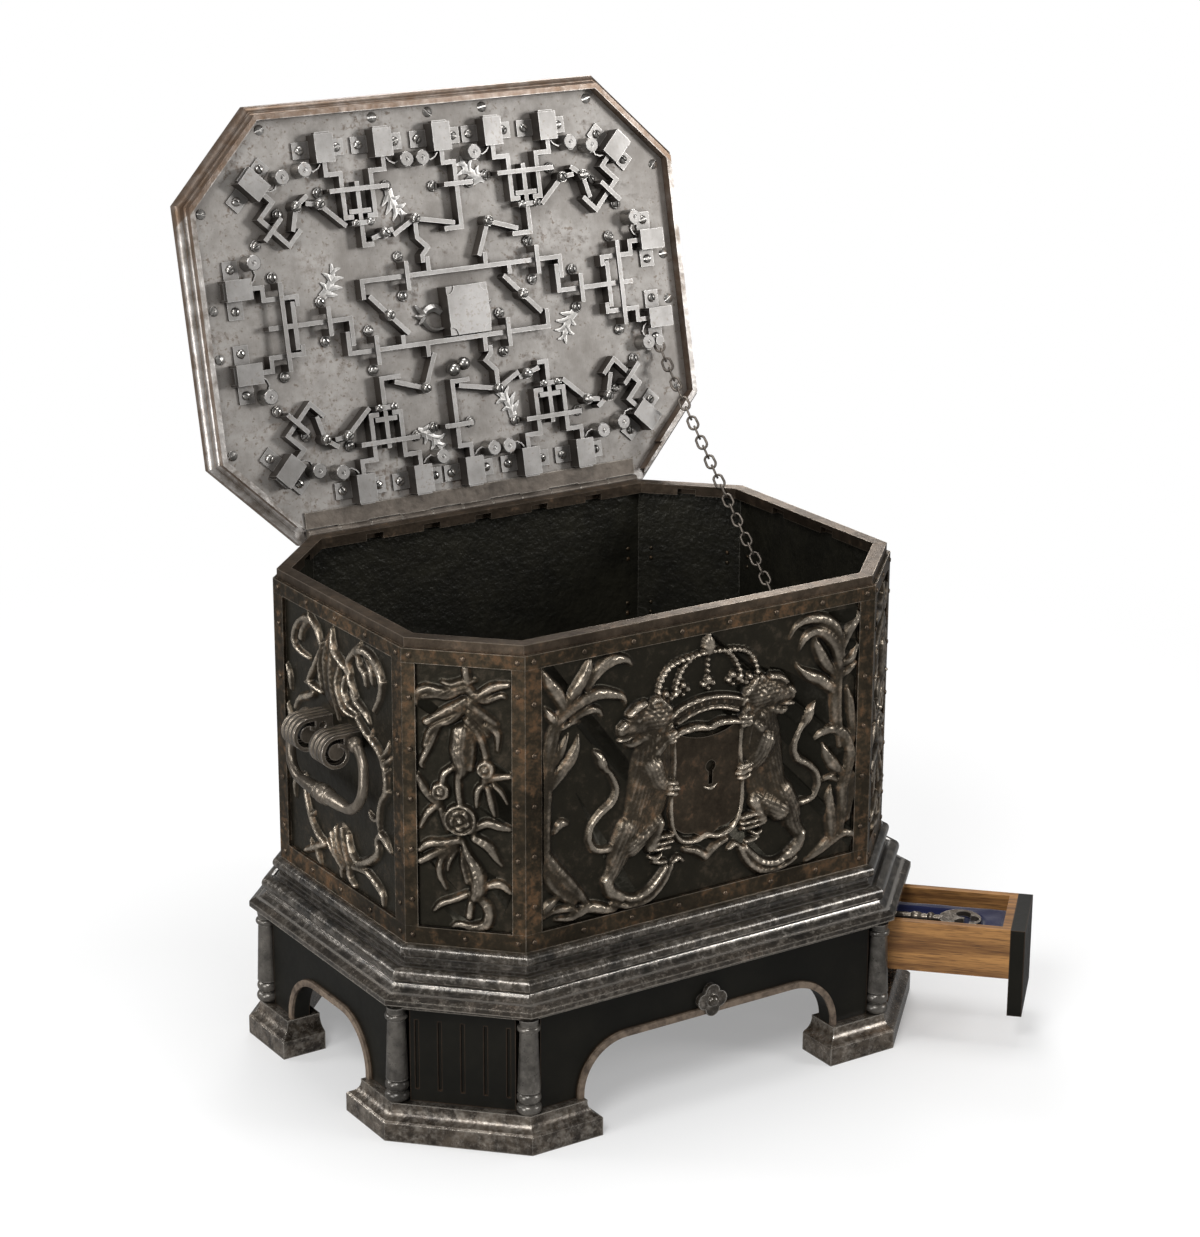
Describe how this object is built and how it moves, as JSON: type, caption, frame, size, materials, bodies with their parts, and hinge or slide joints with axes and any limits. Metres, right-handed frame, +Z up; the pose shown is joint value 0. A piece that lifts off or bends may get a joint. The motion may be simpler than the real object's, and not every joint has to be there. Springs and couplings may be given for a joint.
{
  "type": "strongbox",
  "caption": "Octagonal iron strongbox on an arched stand, its open lid carrying a many-bolt lever lock, with drop handles, stay chain and a hidden corner key drawer.",
  "frame": {"origin": "on the floor, below the middle of the case", "axes": "+Z up, the front faces -Y, +X to the right seen from the front"},
  "size_m": [0.7641, 0.6842, 0.9807],
  "materials": {
    "black_iron": "blackened, rubbed",
    "worn_iron": "worn, brown",
    "grey_steel": "dull, stained",
    "bright_steel": "filed bright",
    "brown_wood": "stained, rubbed",
    "black_wood": "ebonised, waxed",
    "oak": "bare, aged",
    "velvet": "pile"
  },
  "bodies": {
    "case": {"front_panel": "black_iron", "side_panels": "black_iron", "floor_plate": "black_iron", "panel_frames": "black_iron", "top_rim": "worn_iron", "base_moulding": "brown_wood", "front_shield": "black_iron", "handle_brackets": "black_iron", "case_hinge_leaf": "black_iron", "hinge_pin": "black_iron", "stand_top": "black_wood", "stand_aprons": "black_wood", "stand_corner_panels": "black_wood", "stand_columns": "black_wood", "stand_feet": "brown_wood", "drawer_case": "oak", "front_rosette": "black_wood", "stay_chain": "worn_iron"},
    "lid": {"lid_board": "black_iron", "lock_plate": "grey_steel", "lid_hinge_leaf": "black_iron", "bolt_keepers": "bright_steel", "guide_straps": "bright_steel", "spring_posts": "bright_steel", "bolt_springs": "bright_steel", "lock_case": "bright_steel", "leaf_ornaments": "bright_steel", "lever_posts": "bright_steel"},
    "drawer": {"drawer_box": "oak", "drawer_front": "black_wood", "drawer_bed": "velvet", "key": "worn_iron"},
    "left_bail": {"left_bail": "black_iron"},
    "right_bail": {"right_bail": "black_iron"},
    "front_bolts": {"front_bolts": "bright_steel"},
    "back_bolts": {"back_bolts": "bright_steel"},
    "right_bolts": {"right_bolts": "bright_steel"},
    "left_bolts": {"left_bolts": "bright_steel"},
    "front_draw_bar": {"front_draw_bar": "bright_steel"},
    "back_draw_bar": {"back_draw_bar": "bright_steel"},
    "front_left_bolt": {"front_left_bolt": "bright_steel"},
    "front_right_bolt": {"front_right_bolt": "bright_steel"},
    "back_right_bolt": {"back_right_bolt": "bright_steel"},
    "back_left_bolt": {"back_left_bolt": "bright_steel"},
    "front_main_lever": {"front_main_lever": "bright_steel"},
    "front_rocker": {"front_rocker": "bright_steel"},
    "front_side_lever": {"front_side_lever": "bright_steel"},
    "front_left_outer_lever": {"front_left_outer_lever": "bright_steel"},
    "front_right_outer_lever": {"front_right_outer_lever": "bright_steel"},
    "front_left_inner_lever": {"front_left_inner_lever": "bright_steel"},
    "front_right_inner_lever": {"front_right_inner_lever": "bright_steel"},
    "left_cross_lever": {"left_cross_lever": "bright_steel"},
    "back_main_lever": {"back_main_lever": "bright_steel"},
    "back_rocker": {"back_rocker": "bright_steel"},
    "back_side_lever": {"back_side_lever": "bright_steel"},
    "back_right_outer_lever": {"back_right_outer_lever": "bright_steel"},
    "back_left_outer_lever": {"back_left_outer_lever": "bright_steel"},
    "back_right_inner_lever": {"back_right_inner_lever": "bright_steel"},
    "back_left_inner_lever": {"back_left_inner_lever": "bright_steel"},
    "right_cross_lever": {"right_cross_lever": "bright_steel"}
  },
  "joints": [
    {"name": "lid_hinge", "type": "hinge", "parent": "case", "child": "lid", "pos_m": [0, 0.2264, 0.5303], "axis": [1, 0, 0], "range_deg": [0, 102.7], "deforming": ["stay_chain"]},
    {"name": "drawer_slide", "type": "slide", "parent": "case", "child": "drawer", "axis": [0.7071, -0.7071, 0], "range_m": [-0.156, 0]},
    {"name": "left_bail_swing", "type": "hinge", "parent": "case", "child": "left_bail", "pos_m": [-0.312, 0, 0.395], "axis": [0, 1, 0], "range_deg": [0, 90]},
    {"name": "right_bail_swing", "type": "hinge", "parent": "case", "child": "right_bail", "pos_m": [0.312, 0, 0.395], "axis": [0, -1, 0], "range_deg": [0, 90]},
    {"name": "bolt_throw", "type": "slide", "parent": "lid", "child": "front_bolts", "axis": [0, 0.2198, 0.9755], "range_m": [0, 0.01], "deforming": ["bolt_springs"]},
    {"name": "back_bolts_slide", "type": "slide", "parent": "lid", "child": "back_bolts", "axis": [0, -0.2198, -0.9755], "range_m": [0, 0.01]},
    {"name": "right_bolts_slide", "type": "slide", "parent": "lid", "child": "right_bolts", "axis": [1, 0, 0], "range_m": [0, 0.01]},
    {"name": "left_bolts_slide", "type": "slide", "parent": "lid", "child": "left_bolts", "axis": [-1, 0, 0], "range_m": [0, 0.01]},
    {"name": "front_draw_bar_slide", "type": "slide", "parent": "lid", "child": "front_draw_bar", "axis": [1, 0, 0], "range_m": [0, 0.01]},
    {"name": "back_draw_bar_slide", "type": "slide", "parent": "lid", "child": "back_draw_bar", "axis": [-1, 0, 0], "range_m": [0, 0.01]},
    {"name": "front_left_bolt_slide", "type": "slide", "parent": "lid", "child": "front_left_bolt", "axis": [-0.7071, 0.1555, 0.6898], "range_m": [0, 0.009]},
    {"name": "front_right_bolt_slide", "type": "slide", "parent": "lid", "child": "front_right_bolt", "axis": [0.7071, 0.1555, 0.6898], "range_m": [0, 0.009]},
    {"name": "back_right_bolt_slide", "type": "slide", "parent": "lid", "child": "back_right_bolt", "axis": [0.7071, -0.1555, -0.6898], "range_m": [0, 0.009]},
    {"name": "back_left_bolt_slide", "type": "slide", "parent": "lid", "child": "back_left_bolt", "axis": [-0.7071, -0.1555, -0.6898], "range_m": [0, 0.009]},
    {"name": "front_main_lever_pivot", "type": "hinge", "parent": "lid", "child": "front_main_lever", "pos_m": [-0.04, 0.29374, 0.84868], "axis": [0, -0.9755, 0.2198], "range_deg": [0, 12.48]},
    {"name": "front_rocker_pivot", "type": "hinge", "parent": "lid", "child": "front_rocker", "pos_m": [-0.079, 0.29119, 0.83737], "axis": [0, -0.9755, 0.2198], "range_deg": [-33.23, 0]},
    {"name": "front_side_lever_pivot", "type": "hinge", "parent": "lid", "child": "front_side_lever", "pos_m": [0.052, 0.29111, 0.83698], "axis": [0, -0.9755, 0.2198], "range_deg": [0, 16.39]},
    {"name": "front_left_outer_lever_pivot", "type": "hinge", "parent": "lid", "child": "front_left_outer_lever", "pos_m": [-0.155, 0.29968, 0.87502], "axis": [0, -0.9755, 0.2198], "range_deg": [0, 15.49]},
    {"name": "front_right_outer_lever_pivot", "type": "hinge", "parent": "lid", "child": "front_right_outer_lever", "pos_m": [0.155, 0.29968, 0.87502], "axis": [0, -0.9755, 0.2198], "range_deg": [-15.49, 0]},
    {"name": "front_left_inner_lever_pivot", "type": "hinge", "parent": "lid", "child": "front_left_inner_lever", "pos_m": [-0.183, 0.29968, 0.87502], "axis": [0, -0.9755, 0.2198], "range_deg": [-20.42, 0]},
    {"name": "front_right_inner_lever_pivot", "type": "hinge", "parent": "lid", "child": "front_right_inner_lever", "pos_m": [0.183, 0.29968, 0.87502], "axis": [0, -0.9755, 0.2198], "range_deg": [0, 20.42]},
    {"name": "left_cross_lever_pivot", "type": "hinge", "parent": "lid", "child": "left_cross_lever", "pos_m": [-0.086, 0.27154, 0.75016], "axis": [0, -0.9755, 0.2198], "range_deg": [-21.74, 0]},
    {"name": "back_main_lever_pivot", "type": "hinge", "parent": "lid", "child": "back_main_lever", "pos_m": [0.04, 0.25021, 0.65553], "axis": [0, -0.9755, 0.2198], "range_deg": [0, 12.48]},
    {"name": "back_rocker_pivot", "type": "hinge", "parent": "lid", "child": "back_rocker", "pos_m": [0.079, 0.25276, 0.66685], "axis": [0, -0.9755, 0.2198], "range_deg": [-33.23, 0]},
    {"name": "back_side_lever_pivot", "type": "hinge", "parent": "lid", "child": "back_side_lever", "pos_m": [-0.052, 0.25285, 0.66724], "axis": [0, -0.9755, 0.2198], "range_deg": [0, 16.39]},
    {"name": "back_right_outer_lever_pivot", "type": "hinge", "parent": "lid", "child": "back_right_outer_lever", "pos_m": [0.155, 0.24428, 0.62919], "axis": [0, -0.9755, 0.2198], "range_deg": [0, 15.49]},
    {"name": "back_left_outer_lever_pivot", "type": "hinge", "parent": "lid", "child": "back_left_outer_lever", "pos_m": [-0.155, 0.24428, 0.62919], "axis": [0, -0.9755, 0.2198], "range_deg": [-15.49, 0]},
    {"name": "back_right_inner_lever_pivot", "type": "hinge", "parent": "lid", "child": "back_right_inner_lever", "pos_m": [0.183, 0.24428, 0.62919], "axis": [0, -0.9755, 0.2198], "range_deg": [-20.42, 0]},
    {"name": "back_left_inner_lever_pivot", "type": "hinge", "parent": "lid", "child": "back_left_inner_lever", "pos_m": [-0.183, 0.24428, 0.62919], "axis": [0, -0.9755, 0.2198], "range_deg": [0, 20.42]},
    {"name": "right_cross_lever_pivot", "type": "hinge", "parent": "lid", "child": "right_cross_lever", "pos_m": [0.086, 0.27242, 0.75406], "axis": [0, -0.9755, 0.2198], "range_deg": [-21.74, 0]}
  ],
  "couplings": [
    {"joint": "back_bolts_slide", "follows": "bolt_throw", "ratio": 1},
    {"joint": "right_bolts_slide", "follows": "bolt_throw", "ratio": 1},
    {"joint": "left_bolts_slide", "follows": "bolt_throw", "ratio": 1},
    {"joint": "front_draw_bar_slide", "follows": "bolt_throw", "ratio": 1},
    {"joint": "back_draw_bar_slide", "follows": "bolt_throw", "ratio": 1},
    {"joint": "front_left_bolt_slide", "follows": "bolt_throw", "ratio": 0.9},
    {"joint": "front_right_bolt_slide", "follows": "bolt_throw", "ratio": 0.9},
    {"joint": "back_right_bolt_slide", "follows": "bolt_throw", "ratio": 0.9},
    {"joint": "back_left_bolt_slide", "follows": "bolt_throw", "ratio": 0.9},
    {"joint": "front_main_lever_pivot", "follows": "bolt_throw", "rad_per_m": 21.739},
    {"joint": "front_rocker_pivot", "follows": "bolt_throw", "rad_per_m": -57.971},
    {"joint": "front_side_lever_pivot", "follows": "bolt_throw", "rad_per_m": 28.571},
    {"joint": "front_left_outer_lever_pivot", "follows": "bolt_throw", "rad_per_m": 27},
    {"joint": "front_right_outer_lever_pivot", "follows": "bolt_throw", "rad_per_m": -27},
    {"joint": "front_left_inner_lever_pivot", "follows": "bolt_throw", "rad_per_m": -35.6},
    {"joint": "front_right_inner_lever_pivot", "follows": "bolt_throw", "rad_per_m": 35.6},
    {"joint": "left_cross_lever_pivot", "follows": "bolt_throw", "rad_per_m": -37.9},
    {"joint": "back_main_lever_pivot", "follows": "bolt_throw", "rad_per_m": 21.739},
    {"joint": "back_rocker_pivot", "follows": "bolt_throw", "rad_per_m": -57.971},
    {"joint": "back_side_lever_pivot", "follows": "bolt_throw", "rad_per_m": 28.571},
    {"joint": "back_right_outer_lever_pivot", "follows": "bolt_throw", "rad_per_m": 27},
    {"joint": "back_left_outer_lever_pivot", "follows": "bolt_throw", "rad_per_m": -27},
    {"joint": "back_right_inner_lever_pivot", "follows": "bolt_throw", "rad_per_m": -35.6},
    {"joint": "back_left_inner_lever_pivot", "follows": "bolt_throw", "rad_per_m": 35.6},
    {"joint": "right_cross_lever_pivot", "follows": "bolt_throw", "rad_per_m": -37.9}
  ]
}
